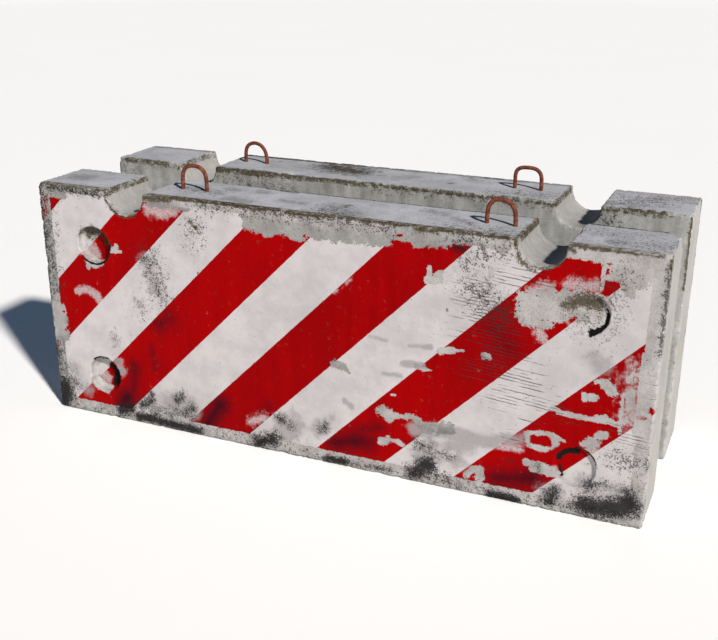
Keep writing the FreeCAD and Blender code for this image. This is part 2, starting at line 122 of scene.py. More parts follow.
FRONT = {
    "peel": (
        # left margin, and beside the upper left recess
        (1, 0.024, (-1.196, 0.34), (-1.193, 0.46)),
        (1, 0.013, (-0.925, 0.750), (-0.888, 0.756)),
        (1, 0.009, (-0.896, 0.757), (-0.887, 0.776)),
        (1, 0.007, (-0.885, 0.752), (-0.868, 0.753)),
        (1, 0.016, (-1.026, 0.690), (-0.998, 0.684)),
        (1, 0.010, (-1.030, 0.680), (-1.032, 0.664)),
        (1, 0.008, (-0.990, 0.687), (-0.962, 0.692)),
        (0.7, 0.02, (-0.922, 0.262), (-0.912, 0.222)),
        (1, 0.014, (-1.25, 0.960), (-1.12, 0.958)),
        (1, 0.014, *arc(-0.998, 0.195, 0.074, 212, 272)),
        # bare band under the top edge
        (1, 0.030, (-0.27, 0.938), (0.27, 0.942)),
        (1, 0.016, (-0.30, 0.968), (0.30, 0.970)),
        (1, 0.010, (-0.21, 0.903), (-0.18, 0.903)),
        (1, 0.010, (-0.10, 0.905), (-0.05, 0.903)),
        (1, 0.024, (0.31, 0.968), (0.38, 0.958), (0.50, 0.962)),
        (1, 0.010, (0.385, 0.932), (0.405, 0.932)),
        (0.7, 0.03, (0.53, 0.975), (0.72, 0.96)),
        (1, 0.012, (-0.605, 0.968), (-0.54, 0.966)),
        (0.75, 0.020, (-0.71, 0.968), (-0.60, 0.970)),
        # star and flakes on the fourth band
        (1, 0.014, (0.435, 0.812), (0.475, 0.822)),
        (1, 0.010, (0.440, 0.825), (0.442, 0.856)),
        (1, 0.008, (0.460, 0.835), (0.485, 0.850)),
        (1, 0.017, (0.070, 0.428), (0.105, 0.424)),
        (1, 0.008, (0.105, 0.435), (0.130, 0.405)),
        # fish shape, its run into the smear, and the drop below it
        (1, 0.024, (0.270, 0.272), (0.296, 0.262)),
        (1, 0.012, (0.290, 0.240), (0.330, 0.264)),
        (1, 0.007, (0.320, 0.268), (0.352, 0.265)),
        (1, 0.014, (0.372, 0.268), (0.392, 0.270)),
        (1, 0.018, (0.400, 0.262), (0.440, 0.240)),
        (0.9, 0.026, (0.440, 0.235), (0.530, 0.250)),
        (1, 0.017, (0.268, 0.146), (0.285, 0.152)),
        (1, 0.006, (0.300, 0.156), (0.335, 0.156)),
        (1, 0.009, (0.335, 0.158), (0.352, 0.146)),
        (1, 0.006, (0.306, 0.345), (0.318, 0.346)),
        (1, 0.013, (0.652, 0.562), (0.664, 0.560)),
        (1, 0.013, (0.490, 0.553), (0.535, 0.562)),
        (1, 0.005, (0.540, 0.563), (0.575, 0.567)),
        (1, 0.009, (0.400, 0.478), (0.430, 0.471)),
        (1, 0.004, (0.430, 0.469), (0.460, 0.470)),
        # large bare area round the upper right recess
        (1, 0.042, (0.795, 0.785), (0.93, 0.805)),
        (1, 0.034, (0.785, 0.745), (0.90, 0.755)),
        (1, 0.018, (0.785, 0.712), (0.865, 0.712)),
        (1, 0.050, (0.97, 0.80), (1.02, 0.80)),
        (1, 0.030, (0.95, 0.755), (1.0, 0.78)),
        (1, 0.034, (1.085, 0.935), (1.17, 0.935)),
        (1, 0.020, (1.115, 0.890), (1.16, 0.90)),
        (1, 0.012, (1.055, 0.905), (1.085, 0.905)),
        (1, 0.007, (1.040, 0.945), (1.038, 0.865)),
        (1, 0.016, (0.92, 0.972), (1.20, 0.966)),
        (1, 0.016, (1.11, 0.885), (1.13, 0.86)),
        # flakes on the last band
        (1, 0.009, (0.83, 0.297), (0.88, 0.306), (0.93, 0.302), (0.955, 0.288)),
        (1, 0.012, (0.920, 0.290), (0.932, 0.270), (0.925, 0.252)),
        (1, 0.010, (0.835, 0.248), (0.875, 0.243), (0.925, 0.247)),
        (1, 0.009, (0.822, 0.290), (0.826, 0.262)),
        (1, 0.013, (0.825, 0.178), (0.87, 0.178), (0.92, 0.166)),
        (1, 0.012, (0.85, 0.155), (0.91, 0.150), (0.95, 0.152)),
        (1, 0.018, (0.655, 0.072), (0.660, 0.105)),
        (1, 0.012, (0.640, 0.112), (0.605, 0.072)),
        (1, 0.010, (0.905, 0.404), (0.96, 0.393), (1.03, 0.392), (1.10, 0.396), (1.13, 0.390)),
        (1, 0.009, (1.06, 0.405), (1.09, 0.408)),
        (1, 0.016, (1.018, 0.470), (1.040, 0.473)),
        (1, 0.020, (1.080, 0.530), (1.098, 0.508)),
        (1, 0.010, (1.050, 0.533), (1.080, 0.538)),
        (0.9, 0.024, (1.035, 0.292), (1.058, 0.300)),
        (1, 0.014, (1.070, 0.334), (1.095, 0.342)),
        (0.62, 0.03, (1.160, 0.40), (1.165, 0.60)),
        (0.8, 0.008, (1.141, 0.36), (1.141, 0.50)),
        (0.9, 0.006, (1.191, 0.36), (1.191, 0.66)),
    ),
    # paint beyond the masked border, and islands left in bare patches
    "coat": (
        (0.60, 0.028, (-1.226, 0.86), (-1.222, 0.94)),
        (0.56, 0.014, (-1.225, 0.30), (-1.235, 0.285)),
        (1, 0.006, (-1.185, 0.452), (-1.183, 0.452)),
        (1, 0.006, (-1.184, 0.370), (-1.182, 0.370)),
        (1, 0.006, (-1.190, 0.515), (-1.188, 0.515)),
        (1, 0.005, (0.318, 0.960), (0.334, 0.963)),
        (0.9, 0.010, (1.235, 0.463), (1.243, 0.452)),
        (1, 0.006, (1.195, 0.428), (1.220, 0.428)),
        (1, 0.014, (1.060, 0.872), (1.078, 0.875)),
        (0.75, 0.012, (0.915, 0.712), (0.955, 0.742)),
        (1, 0.012, (0.85, 0.270), (0.885, 0.272)),
        (1, 0.014, (0.92, 0.235), (0.96, 0.270), (1.0, 0.275)),
    ),
    # red worn thin to pink
    "fade": (
        (1, 0.016, (-1.10, 0.558), (-1.06, 0.568), (-1.025, 0.563), (-1.0, 0.545), (-0.985, 0.52)),
        (0.9, 0.026, (-0.715, 0.945), (-0.65, 0.945), (-0.60, 0.965)),
        (0.8, 0.020, (-0.922, 0.262), (-0.912, 0.222)),
        (0.7, 0.022, (-0.30, 0.115), (-0.23, 0.145)),
        (0.8, 0.018, (0.835, 0.683), (0.855, 0.660)),
        (0.85, 0.024, (0.81, 0.822), (0.85, 0.842)),
        (0.8, 0.022, (0.93, 0.865), (1.02, 0.868)),
        (0.62, 0.040, (1.165, 0.42), (1.165, 0.62)),
        (0.75, 0.014, (0.72, 0.222), (0.80, 0.226)),
        (0.7, 0.020, (1.04, 0.275), (1.075, 0.268)),
        (0.55, 0.012, (0.12, 0.765), (0.135, 0.775)),
        (0.55, 0.010, (0.07, 0.715), (0.085, 0.725)),
        (1, 0.024, (-1.045, 0.740), (-1.018, 0.712)),
        (0.9, 0.020, (-1.03, 0.175), (-1.01, 0.160)),
    ),
    # black grime, heaviest at the foot
    "grime": (
        (1, 0.050, (-1.235, 0.03), (-1.215, 0.11)),
        (0.62, 0.05, (-1.21, 0.17), (-1.16, 0.12)),
        (0.9, 0.030, (-0.935, 0.04), (-0.88, 0.06)),
        (0.7, 0.020, (-0.79, 0.12), (-0.765, 0.15)),
        (0.65, 0.030, (-0.60, 0.10), (-0.57, 0.12)),
        (1, 0.022, (-0.84, 0.03), (-0.54, 0.02)),
        (0.75, 0.030, (-0.82, 0.09), (-0.77, 0.115)),
        (0.55, 0.050, (-0.75, 0.06), (-0.60, 0.09)),
        (0.65, 0.028, (-0.64, 0.14), (-0.62, 0.175)),
        (1, 0.034, (-0.27, 0.03), (-0.20, 0.055)),
        (0.6, 0.024, (-0.17, 0.155), (-0.12, 0.135)),
        (0.6, 0.024, (0.02, 0.145), (0.035, 0.17)),
        (0.95, 0.022, (0.04, 0.018), (0.11, 0.02)),
        (0.55, 0.020, (0.11, 0.02), (0.30, 0.03)),
        (1, 0.034, (0.40, 0.04), (0.46, 0.085)),
        (0.7, 0.030, (0.41, 0.165), (0.53, 0.14)),
        (0.5, 0.040, (0.45, 0.03), (0.60, 0.03)),
        (1, 0.020, (0.70, 0.015), (0.79, 0.015)),
        (0.75, 0.030, (0.915, 0.04), (0.935, 0.085)),
        (1, 0.045, (1.04, 0.05), (1.15, 0.065), (1.20, 0.09)),
        (0.75, 0.026, (1.05, 0.13), (1.11, 0.155)),
        (0.75, 0.032, (1.18, 0.145), (1.20, 0.12)),
        (0.6, 0.012, (-0.555, 0.93), (-0.48, 0.895)),
        (0.40, 0.032, (-1.23, 0.93), (-1.225, 0.55)),
        (0.6, 0.030, (-1.235, 0.28), (-1.22, 0.16)),
        (0.9, 0.010, (-1.249, 0.96), (-1.249, 0.50)),
        (0.6, 0.016, (-1.25, 0.985), (-0.95, 0.975)),
        (0.7, 0.012, (0.53, 0.945), (0.565, 0.94)),
        (0.5, 0.018, (0.56, 0.885), (0.575, 0.875)),
        (0.5, 0.020, (0.65, 0.84), (0.665, 0.81)),
        (0.55, 0.014, (0.75, 0.17), (0.78, 0.172)),
        (0.6, 0.018, (0.865, 0.172), (0.875, 0.150)),
    ),
    # bare dirt rubbed over white and red alike, and painted shade on the recesses' sunlit walls
    "smear_and_shade": (
        (0.9, 0.030, (0.40, 0.228), (0.58, 0.232), (0.70, 0.228)),
        (0.7, 0.030, (0.68, 0.235), (0.80, 0.265)),
        (0.6, 0.050, (0.45, 0.16), (0.62, 0.20)),
        (0.6, 0.016, (0.22, 0.563), (0.28, 0.560)),
        (0.65, 0.014, (0.37, 0.553), (0.45, 0.560)),
        (0.6, 0.014, (0.27, 0.426), (0.34, 0.426)),
        (0.6, 0.018, (0.115, 0.285), (0.145, 0.262)),
        (0.75, 0.014, (0.35, 0.48), (0.42, 0.482)),
        (0.55, 0.050, (1.02, 0.62), (1.05, 0.59)),
        (0.45, 0.050, (-0.95, 0.36), (-0.93, 0.34)),
        (0.62, 0.060, (-1.12, 0.12), (-1.16, 0.20)),
        (0.66, 0.060, (-0.70, 0.12), (-0.58, 0.12)),
        (0.58, 0.055, (-0.74, 0.72), (-0.70, 0.62)),
        (0.4, 0.050, (-0.80, 0.54), (-0.78, 0.52)),
        (0.62, 0.065, (-0.16, 0.10), (-0.10, 0.14)),
        (0.58, 0.050, (0.0, 0.14), (0.06, 0.20)),
        (0.60, 0.050, (0.42, 0.12), (0.56, 0.12)),
        (0.58, 0.050, (1.04, 0.13), (1.20, 0.14)),
        (0.58, 0.040, (0.90, 0.06), (0.95, 0.09)),
        (0.5, 0.020, (0.66, 0.88), (0.65, 0.80)),
        # painted shade that dulls the sunlit side of the recesses' walls
        (0.6, 0.014, *arc(-0.998, 0.767, 0.071, 120, 235)),
        (0.6, 0.014, *arc(-0.998, 0.195, 0.071, 110, 205)),
        (0.6, 0.010, *arc(0.998, 0.767, 0.073, 190, 262)),
        (0.6, 0.010, *arc(0.998, 0.195, 0.073, 195, 275)),
    ),
    # soot and darker red
    "dusk": (
        (0.7, 0.06, (-0.70, 0.47), (-0.66, 0.50)),
        (0.6, 0.03, (-0.75, 0.36), (-0.74, 0.26)),
        (0.8, 0.035, (-0.84, 0.26), (-0.86, 0.14)),
        (1, 0.045, (-0.92, 0.08), (-0.89, 0.11)),
        (1, 0.045, (-0.50, 0.07), (-0.44, 0.16)),
        (0.6, 0.04, (-0.22, 0.20), (-0.26, 0.09)),
        (0.9, 0.05, (0.07, 0.10), (0.20, 0.13)),
        (0.7, 0.03, (0.19, 0.18), (0.26, 0.20)),
        (0.9, 0.05, (0.72, 0.09), (0.85, 0.12)),
        (0.8, 0.022, (0.52, 0.945), (0.57, 0.935)),
        (0.5, 0.08, (-0.85, 0.45), (-0.60, 0.75)),
        (0.5, 0.05, (0.66, 0.68), (0.74, 0.60)),
    ),
    # olive and brown growth
    "moss": (
        (1, 0.016, (-0.745, 0.990), (-0.63, 0.992)),
        (0.9, 0.010, (-0.72, 0.978), (-0.66, 0.984)),
        (0.95, 0.007, (-0.63, 0.999), (-0.15, 0.999)),
        (1, 0.008, (-0.28, 0.997), (-0.20, 0.995)),
        (1, 0.009, (-0.12, 0.995), (0.02, 0.995)),
        (0.85, 0.006, (0.02, 0.999), (0.38, 0.999)),
        (1, 0.011, (0.38, 0.994), (0.46, 0.992)),
        (0.85, 0.007, (0.46, 0.998), (0.74, 0.996)),
        (0.9, 0.007, *arc(0.832, 0.99, 0.091, 175, 215)),
        (1, 0.011, *arc(0.832, 0.99, 0.096, 215, 255)),
        (0.8, 0.005, *arc(0.832, 0.99, 0.087, 255, 315)),
        (0.9, 0.010, (0.922, 0.990), (0.935, 0.978)),
        (0.9, 0.006, *arc(-0.832, 0.99, 0.091, 175, 300)),
        (0.85, 0.007, (0.93, 0.998), (1.22, 0.994)),
        (0.8, 0.006, (1.249, 0.99), (1.249, 0.95)),
        (0.7, 0.006, (-1.25, 0.998), (-0.93, 0.997)),
        (0.6, 0.008, (-0.97, 0.988), (-0.93, 0.975)),
        (1.15, 0.013, (-0.532, 0.915), (-0.508, 0.896)),
        (0.8, 0.005, (-0.49, 0.89), (-0.488, 0.88)),
        (0.7, 0.005, (-0.545, 0.842), (-0.535, 0.822)),
        # inside the recesses
        (1.25, 0.024, *arc(-0.998, 0.767, 0.054, 15, 140)),
        (0.75, 0.011, (-1.045, 0.79), (-1.03, 0.78)),
        (1.2, 0.024, (0.930, 0.790), (0.965, 0.810), (1.030, 0.808)),
        (0.6, 0.007, (1.03, 0.205), (1.05, 0.215)),
    ),
    # painted shadow crescents along the recess rims, and thin black outlines
    "line": (
        (1, 0.0048, *arc(-0.998, 0.767, 0.0815, -140, 5, 9)),
        (1, 0.0045, *arc(-0.998, 0.195, 0.080, 70, 130)),
        (1, 0.022, *arc(-1.002, 0.190, 0.048, -50, 62)),
        (0.75, 0.012, *arc(-0.998, 0.195, 0.068, 62, 112)),
        (1, 0.012, *arc(0.998, 0.767, 0.068, -75, -55)),
        (1, 0.008, *arc(0.998, 0.767, 0.068, -55, 5)),
        (0.7, 0.005, *arc(0.998, 0.767, 0.068, 5, 40)),
        (1, 0.012, *arc(0.994, 0.195, 0.060, 80, 160)),
        (0.9, 0.005, *arc(0.998, 0.195, 0.080, 10, 90)),
        (0.9, 0.007, (0.945, 0.185), (0.955, 0.150)),
        (0.6, 0.005, *arc(-0.832, 0.99, 0.090, 200, 340)),
    ),
    # paler, chalky concrete
    "chalk": (
        (1, 0.30, (1.10, 0.15), (1.10, 0.90)),
        (1, 0.05, (-1.15, 0.01), (1.20, 0.01)),
        (0.8, 0.10, (0.80, 0.80), (0.95, 0.78)),
        (0.7, 0.02, (0.60, 0.985), (0.72, 0.98)),
        (0.7, 0.016, (-0.60, 0.983), (-0.05, 0.982)),
        (0.6, 0.16, (0.36, 0.15), (0.42, 0.60)),
        (0.8, 0.02, (0.0, 0.975), (0.25, 0.98)),
        (1, 0.03, *arc(-0.998, 0.195, 0.074, 212, 272)),
        (0.8, 0.04, (-1.215, 0.36), (-1.205, 0.52)),
        (0.9, 0.03, (-0.90, 0.755), (-0.88, 0.755)),
        (0.9, 0.03, (-1.03, 0.685), (-0.99, 0.685)),
        (0.9, 0.03, (0.43, 0.83), (0.48, 0.82)),
    ),
    # rows of board marks
    "marks": (
        (0.95, 0.12, (0.64, 0.74), (0.72, 0.58)),
        (0.9, 0.09, (0.62, 0.50), (0.80, 0.50)),
        (0.75, 0.08, (0.70, 0.42), (0.92, 0.40)),
        (0.8, 0.06, (0.70, 0.86), (0.84, 0.87)),
        (0.6, 0.05, (0.70, 0.26), (0.80, 0.25)),
        (0.8, 0.05, (1.13, 0.35), (1.22, 0.33)),
        (0.5, 0.05, (1.20, 0.60), (1.24, 0.50)),
        (0.5, 0.08, (0.96, 0.38), (1.12, 0.36)),
    ),
    # fine dark speckle
    "speckle": (
        (0.75, 0.06, (-0.74, 0.76), (-0.69, 0.60)),
        (0.6, 0.03, (-0.93, 0.40), (-0.93, 0.34)),
        (0.6, 0.03, (-0.79, 0.54), (-0.78, 0.50)),
        (0.8, 0.06, (0.60, 0.80), (0.70, 0.72)),
        (0.7, 0.04, (0.56, 0.89), (0.66, 0.93)),
        (0.7, 0.05, (-0.53, 0.84), (-0.50, 0.90)),
        (0.6, 0.04, (1.07, 0.90), (1.10, 0.78)),
        (0.7, 0.05, (1.14, 0.26), (1.20, 0.25)),
        (0.6, 0.05, (1.0, 0.85), (1.12, 0.92)),
        (0.6, 0.06, (1.0, 0.74), (1.03, 0.72)),
        (0.85, 0.06, (-1.235, 0.98), (-1.235, 0.55)),
        (0.9, 0.02, (-1.25, 0.985), (-0.92, 0.982)),
        (0.55, 0.04, (-1.20, 0.03), (1.20, 0.03)),
        (0.7, 0.04, (-1.235, 0.30), (-1.235, 0.20)),
        (0.9, 0.012, (1.244, 0.97), (1.245, 0.66)),
        (0.6, 0.04, (0.50, 0.98), (0.72, 0.965)),
        (0.7, 0.03, (-0.50, 0.985), (0.30, 0.98)),
    ),
}

TOPS = {
    "moss": (
        (0.8, 0.016, (-0.925, -0.42), (-0.915, -0.13)),
        (0.9, 0.016, (-0.918, -0.42), (-0.918, -0.34)),
        (0.7, 0.020, (0.05, -0.28), (0.055, -0.255)),
        (0.6, 0.030, (-0.01, -0.41), (0.08, -0.40)),
        (1, 0.014, (0.745, -0.41), (0.750, -0.14)),
        (0.8, 0.018, (-1.20, 0.135), (-1.0, 0.13)),
        (0.62, 0.020, (-0.92, 0.14), (-0.915, 0.36)),
        (1, 0.018, (-0.74, 0.13), (-0.50, 0.128)),
        (0.8, 0.012, (-0.50, 0.128), (0.0, 0.130)),
        (0.6, 0.012, (0.0, 0.128), (0.55, 0.130)),
        (0.85, 0.055, (-0.27, 0.33), (-0.16, 0.30)),
        (0.75, 0.024, (1.0, 0.13), (1.15, 0.135)),
        (0.8, 0.011, (0.746, 0.13), (0.750, 0.42)),
    ),
    "speckle": (
        (0.4, 0.10, (0.98, -0.22), (1.18, -0.36)),
        (0.6, 0.10, (1.0, 0.22), (1.15, 0.36)),
        (0.6, 0.06, (0.0, -0.36), (0.08, -0.38)),
        (0.5, 0.06, (0.50, -0.38), (0.70, -0.36)),
        (0.5, 0.05, (0.50, 0.17), (0.70, 0.20)),
        (1, 0.08, (-0.28, 0.33), (-0.15, 0.29)),
        (0.6, 0.04, (-0.66, -0.25), (-0.50, -0.28)),
    ),
    "smear_and_shade": (
        (0.8, 0.05, (-1.17, -0.28), (-1.13, -0.27)),
        (0.7, 0.03, (-0.48, -0.20), (-0.45, -0.21)),
        (0.8, 0.03, (-0.35, -0.20), (-0.32, -0.20)),
        (0.7, 0.03, (-0.20, -0.28), (-0.12, -0.29)),
        (0.8, 0.04, (-0.40, -0.34), (-0.33, -0.36)),
        (0.8, 0.06, (0.02, -0.30), (0.10, -0.36)),
        (0.7, 0.03, (0.35, -0.20), (0.42, -0.22)),
        (0.7, 0.02, (0.47, -0.26), (0.55, -0.31)),
        (0.8, 0.03, (1.05, -0.33), (1.07, -0.34)),
        (0.8, 0.07, (-0.30, 0.34), (-0.16, 0.32)),
        (0.6, 0.03, (0.33, 0.36), (0.38, 0.33)),
        (0.5, 0.05, (0.06, 0.26), (0.10, 0.28)),
        (0.6, 0.02, (0.28, 0.24), (0.29, 0.245)),
    ),
    "grime": (
        (0.6, 0.012, (0.28, 0.243), (0.292, 0.246)),
        (0.5, 0.03, (1.03, 0.32), (1.06, 0.26)),
        (0.5, 0.02, (0.52, -0.30), (0.55, -0.315)),
        (0.6, 0.014, (0.76, -0.16), (0.92, -0.15)),
        (1, 0.0065, (-0.35, -0.138), (0.74, -0.138)),
        (1, 0.008, (0.93, -0.139), (1.20, -0.139)),
        (0.8, 0.016, (-0.28, -0.145), (-0.22, -0.150)),
        (0.8, 0.014, (0.325, 0.385), (0.335, 0.385)),
        (0.7, 0.012, (0.275, 0.245), (0.29, 0.243)),
        (0.7, 0.012, (0.57, 0.245), (0.575, 0.235)),
        (0.7, 0.012, (-0.54, 0.345), (-0.535, 0.335)),
    ),
}

INNER = {
    "moss": (
        (1, 0.020, (-0.74, 0.995), (-0.52, 0.992)),
        (0.9, 0.013, (-0.52, 0.993), (-0.05, 0.990)),
        (0.9, 0.014, (-1.22, 0.99), (-1.0, 0.985)),
        (0.7, 0.012, (-1.0, 0.985), (-0.93, 0.98)),
        (0.85, 0.012, (0.0, 0.99), (0.74, 0.985)),
        (0.6, 0.020, (0.52, 0.985), (0.60, 0.975)),
        (0.8, 0.014, (0.93, 0.985), (1.15, 0.99)),
        (1, 0.009, (1.248, 0.99), (1.248, 0.72)),
    ),
    "speckle": (
        (0.6, 0.02, (0.0, 0.980), (0.74, 0.975)),
        (0.6, 0.06, (-0.72, 0.95), (-0.40, 0.93)),
        (0.8, 0.05, (0.95, 0.95), (0.98, 0.90)),
        (0.7, 0.03, (-1.23, 0.96), (-1.15, 0.94)),
    ),
    "line": (
        (1, 0.006, (-1.246, 0.985), (-1.246, 0.60)),
    ),
    "smear_and_shade": (
        (0.8, 0.05, (-0.60, 0.90), (-0.30, 0.88)),
        (0.6, 0.04, (0.96, 0.90), (1.02, 0.88)),
    ),
}
WEAR_NAMES = tuple(FRONT)

# ---------------------------------------------------------------- the slabs' surfaces

COARSE = 0.0124
FINE_BESIDE_EDGE = 0.022
SHARP_ANGLE = math.radians(50)
ON_FACE = 0.004
TOP_DEPTH = 0.008
TOP_STROKE_DEPTH = 0.025
INNER_DEPTH = 0.008

# the size of each kind of bump, how deep it goes, and how far from an edge chips reach
CHIP_SIZE, CHIP_DEPTH, CHIP_REACH = 0.035, 0.006, 0.020
CRUMB_SIZE, CRUMB_DEPTH = 0.014, 0.0018
WAVE_SIZE, WAVE_DEPTH = 0.25, 0.0007
GRIT_SIZE, GRIT_DEPTH = 0.02, 0.0003
BROKEN_CORNER = (HALF_LENGTH, HALF_THICKNESS, HEIGHT)
BROKEN_REACH = 0.055
BROKEN_SLOPE = 0.4

BORDER_FADE = 0.02
EDGE_FADE = 0.02
DIRTY_FOOT = 0.24
# painted shade on the saddles' walls that face away from the key light, fading in between these
# distances past each saddle's middle
PAINTED_SHADE_START, PAINTED_SHADE_END = 0.055, 0.065


def from_saddle(points):
    """Distance outside the nearer saddle's round wall."""
    return np.hypot(np.abs(points[:, 0]) - SADDLE_X, points[:, 2] - SADDLE_LEVEL) - SADDLE_RADIUS


def from_edge(points):
    """Distance from each point on the slab to the nearest outer edge: the second smallest of
    its distances to the slab's walls."""
    x, y, z = np.abs(points[:, 0]), np.abs(points[:, 1]), points[:, 2]
    walls = [HALF_LENGTH - x, HALF_THICKNESS - y, z, HEIGHT - z, np.abs(from_saddle(points))]
    return np.sort(walls, axis=0)[1]


def on_striped_face(points):
    """Whether a point is on the striped face or inside one of its recesses."""
    return points[:, 1] < -HALF_THICKNESS + RECESS_DEPTH + ON_FACE


def fractal(points, size, octaves=4):
    """Smooth random values around 0, whose largest bumps are about size across."""
    return np.array([noise.fractal(p, 0.6, 2.0, octaves) for p in (points / size).tolist()])


def smooth_step(values, low, high):
    part = np.clip((values - low) / (high - low), 0, 1)
    return part * part * (3 - 2 * part)


def coordinates(mesh):
    values = np.empty(len(mesh.vertices) * 3, np.float32)
    mesh.vertices.foreach_get("co", values)
    return values.reshape(-1, 3).astype(float)


def sink(mesh, depth):
    """Moves each vertex inwards, against its normal, by its own depth."""
    normals = np.empty(len(mesh.vertices) * 3, np.float32)
    mesh.vertex_normals.foreach_get("vector", normals)
    moved = coordinates(mesh) - normals.reshape(-1, 3) * depth[:, None]
    mesh.vertices.foreach_set("co", moved.astype(np.float32).ravel())
    mesh.update()


def bake(draft):
    """A draft object's finished shape as a mesh. The draft itself is removed."""
    evaluated = draft.evaluated_get(bpy.context.evaluated_depsgraph_get())
    mesh = bpy.data.meshes.new_from_object(evaluated)
    bpy.data.objects.remove(draft)
    return mesh


def even_surface(node, to_slab):
    """The CAD slab's surface as an even mesh in the slab's own frame."""
    draft = add_object("draft", node.data.copy())
    remesh = draft.modifiers.new("even", "REMESH")
    remesh.mode = "VOXEL"
    remesh.voxel_size = COARSE
    mesh = bake(draft)
    mesh.transform(to_slab)
    return mesh


def refine(mesh):
    """Halves the mesh's spacing on the striped face and beside every edge."""
    shape = bmesh.new()
    shape.from_mesh(mesh)
    centres = np.array([face.calc_center_median() for face in shape.faces])
    fine = on_striped_face(centres) | (from_edge(centres) < FINE_BESIDE_EDGE)
    edges = {edge for face, wanted in zip(shape.faces, fine) if wanted for edge in face.edges}
    edges = sorted(edges, key=lambda edge: edge.index)
    bmesh.ops.subdivide_edges(shape, edges=edges, cuts=1, use_grid_fill=True)
    shape.to_mesh(mesh)
    shape.free()


def lay_on(mesh, node, to_slab):
    """Moves every vertex onto the CAD slab's surface."""
    tree = BVHTree.FromPolygons(
        [to_slab @ vertex.co for vertex in node.data.vertices],
        [tuple(face.vertices) for face in node.data.polygons],
    )
    points = [tree.find_nearest(vertex.co)[0] for vertex in mesh.vertices]
    mesh.vertices.foreach_set("co", np.array(points, np.float32).ravel())
    mesh.update()


def weather(mesh, slab, seed):
    """Sinks chips, a broken corner and the unevenness of cast concrete into the surface."""
    points = coordinates(mesh)
    shifted = points + seed
    near = np.clip(1 - from_edge(points) / CHIP_REACH, 0, 1)
    chips = smooth_step(fractal(shifted, CHIP_SIZE, 5) + 0.25 * near, 0.32, 0.75)
    crumbs = smooth_step(fractal(shifted, CRUMB_SIZE, 3), 0.05, 0.55)
    depth = CHIP_DEPTH * near * chips + CRUMB_DEPTH * near * crumbs
    depth += WAVE_DEPTH * (1 + fractal(shifted, WAVE_SIZE, 3))
    depth += GRIT_DEPTH * (1 + fractal(shifted, GRIT_SIZE, 3))
    if slab == "front":
        gone = np.linalg.norm(points - np.array(BROKEN_CORNER), axis=1)
        depth += BROKEN_SLOPE * np.clip(BROKEN_REACH - gone, 0, None)
    sink(mesh, np.clip(depth, 0, None))


def cover(points, strokes):
    """How strongly strokes cover flat points: full in a stroke's middle and half as strong at
    its half width."""
    total = np.zeros(len(points))
    for strength, width, *path in strokes:
        path = np.array(path)
        for start, end in zip(path, path[1:]):
            along = end - start
            part = np.clip((points - start) @ along / (along @ along), 0, 1)
            away = np.linalg.norm(points - start - part[:, None] * along, axis=1)
            total = np.maximum(total, strength * np.clip(1 - away / (2 * width), 0, 1))
    return total


def store(mesh, name, values):
    attribute = mesh.attributes.new(name, "FLOAT", "POINT")
    attribute.data.foreach_set("value", values.astype(np.float32))


def mark_wear(mesh, slab, points, in_row):
    """Stores how strongly each kind of stroke covers each vertex."""
    striped = on_striped_face(points)
    near_top = (points[:, 2] > HEIGHT - TOP_STROKE_DEPTH) & ~striped
    inner = points[:, 1] > HALF_THICKNESS - INNER_DEPTH
    for name in WEAR_NAMES:
        values = np.zeros(len(points))
        flat, strokes = points[striped][:, [0, 2]], FRONT[name]
        if slab == "rear":
            flat, strokes = flat * (-1, 1), strokes[::2]
        values[striped] = cover(flat, strokes)
        on_top = cover(in_row[near_top][:, :2], TOPS.get(name, ()))
        values[near_top] = np.maximum(values[near_top], on_top)
        if slab == "rear":
            on_inner = cover(in_row[inner][:, [0, 2]], INNER.get(name, ()))
            values[inner] = np.maximum(values[inner], on_inner)
        store(mesh, name, values)


def mark_faces(mesh, points, in_row):
    """Stores which face each vertex is on, how near it is to edges and to the paint's border, and
    where shade is painted on the saddles' walls that face away from the key light.
    """
    striped = on_striped_face(points)
    border = np.min([
        PAINT_SIDE - np.abs(points[:, 0]), points[:, 2] - PAINT_FOOT, PAINT_TOP - points[:, 2],
        from_saddle(points) - PAINT_TO_SADDLE,
    ], 0)
    saddle = from_saddle(points) < ON_FACE
    end = np.abs(points[:, 0]) > HALF_LENGTH - ON_FACE
    past_middle = in_row[:, 0] - np.sign(in_row[:, 0]) * SADDLE_X
    marks = {
        "border": np.where(striped, np.clip(border / BORDER_FADE, -1, 1), -1),
        "edge": np.clip(1 - from_edge(points) / EDGE_FADE, 0, 1),
        "low": 1 - smooth_step(points[:, 2], 0.0, DIRTY_FOOT),
        "top": (points[:, 2] > HEIGHT - TOP_DEPTH) & ~striped,
        "inner": points[:, 1] > HALF_THICKNESS - INNER_DEPTH,
        "smooth": saddle | end,
        "end": end,
        # painted shade on the saddle walls that face away from the key light
        "painted_saddle_shade": saddle * smooth_step(past_middle, PAINTED_SHADE_START, PAINTED_SHADE_END),
    }
    for name, values in marks.items():
        store(mesh, name, values)


# ---------------------------------------------------------------- materials

BOARD_SLOPE = 0.09
BOARD_SPACING = 0.0125
BOARD_WOBBLE = 0.010
STRIPE_WOBBLE = 0.006
STRIPE_BLUR = 0.0008

# colours, in dark and light pairs where noise runs between two
BARE_CONCRETE = (0.20, 0.195, 0.19), (0.40, 0.39, 0.38)
TOP_CONCRETE = (0.38, 0.385, 0.41), (0.59, 0.60, 0.645)
INNER_CONCRETE = (0.27, 0.27, 0.255), (0.53, 0.53, 0.51)
SMOOTH_CONCRETE = (0.28, 0.275, 0.265), (0.395, 0.385, 0.37)
CHALKY_CONCRETE = (0.33, 0.31, 0.305), (0.52, 0.495, 0.49)
END_CONCRETE = (0.62, 0.60, 0.57)
# painted shade, dark blue-grey, for the saddles' walls that face away from the key light
SADDLE_PAINTED_SHADE = (0.04, 0.075, 0.14)
PORE = (0.07, 0.068, 0.065)
